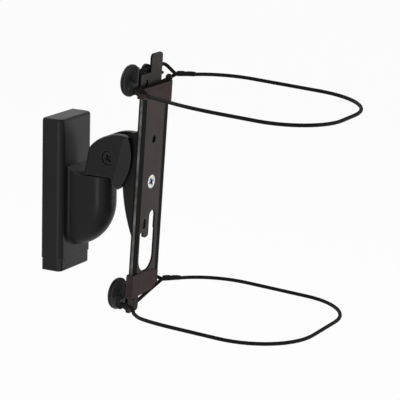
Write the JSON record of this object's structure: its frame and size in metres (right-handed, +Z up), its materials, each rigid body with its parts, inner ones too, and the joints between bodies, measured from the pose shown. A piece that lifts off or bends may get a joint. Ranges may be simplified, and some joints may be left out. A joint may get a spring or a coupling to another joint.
{
  "type": "speaker wall bracket",
  "caption": "Wall bracket for a small speaker: slide-on housing, pan and tilt knuckle, slotted plate, and wire loops drawn tight by thumb knobs.",
  "frame": {"origin": "middle of the wall plate's back face, on the wall", "axes": "+Z up, +Y into the wall, so the bracket stands out towards -Y; +X along the wall"},
  "size_m": [0.1184, 0.2123, 0.1707],
  "materials": {
    "body_plastic": "fine satin grain",
    "black_screw": "black oxide",
    "friction_nylon": "plain",
    "zinc_steel": "zinc plated",
    "head_coat": "satin black coat",
    "plate_coat": "satin dark grey coat",
    "saddle_plastic": "satin",
    "knob_plastic": "satin, smooth rim",
    "wire_coat": "smooth black vinyl coat",
    "black_swage": "black",
    "bright_screw": "bright zinc"
  },
  "bodies": {
    "wall_base": {"wall_plate": "body_plastic", "housing": "body_plastic", "lock_screw": "black_screw", "pan_thrust_disc": "friction_nylon"},
    "swivel": {"knuckle": "body_plastic", "pan_bolt": "zinc_steel", "pan_washer": "zinc_steel", "pan_spring_washer": "zinc_steel", "tilt_screw": "black_screw", "tilt_nut": "zinc_steel", "tilt_washers": "friction_nylon"},
    "head": {"tilt_head": "head_coat", "plate_screw": "bright_screw", "speaker_plate": "plate_coat", "upper_saddle": "saddle_plastic", "lower_saddle": "saddle_plastic"},
    "upper_clamp": {"upper_yoke": "head_coat", "upper_wire_loop": "wire_coat", "upper_wire_terminal": "black_swage", "upper_crimp_sleeve": "black_swage"},
    "upper_knob_screw": {"upper_knob": "knob_plastic", "upper_clamp_screw": "black_screw"},
    "lower_clamp": {"lower_yoke": "head_coat", "lower_wire_loop": "wire_coat", "lower_wire_terminal": "black_swage", "lower_crimp_sleeve": "black_swage"},
    "lower_knob_screw": {"lower_knob": "knob_plastic", "lower_clamp_screw": "black_screw"}
  },
  "joints": [
    {"name": "pan", "type": "hinge", "parent": "wall_base", "child": "swivel", "pos_m": [0, -0.0325, 0.0147], "axis": [0, 0, 1], "range_deg": [-40, 40]},
    {"name": "tilt", "type": "hinge", "parent": "swivel", "child": "head", "pos_m": [0, -0.0443, 0.0281], "axis": [1, 0, 0], "range_deg": [-15, 12]},
    {"name": "upper_knob_turn", "type": "hinge", "parent": "head", "child": "upper_knob_screw", "pos_m": [-0.006, -0.05927, 0.07998], "axis": [0, -0.9987, -0.0501], "range_deg": [0, 900]},
    {"name": "upper_yoke_slide", "type": "slide", "parent": "head", "child": "upper_clamp", "axis": [0, 0.9987, 0.0501], "range_m": [0, 0.0025]},
    {"name": "lower_knob_turn", "type": "hinge", "parent": "head", "child": "lower_knob_screw", "pos_m": [-0.006, -0.05214, -0.06225], "axis": [0, -0.9987, -0.0501], "range_deg": [0, 900]},
    {"name": "lower_yoke_slide", "type": "slide", "parent": "head", "child": "lower_clamp", "axis": [0, 0.9987, 0.0501], "range_m": [0, 0.0025]}
  ],
  "couplings": [
    {"joint": "upper_knob_turn", "follows": "upper_yoke_slide", "rad_per_m": 6283.2},
    {"joint": "lower_knob_turn", "follows": "lower_yoke_slide", "rad_per_m": 6283.2}
  ]
}
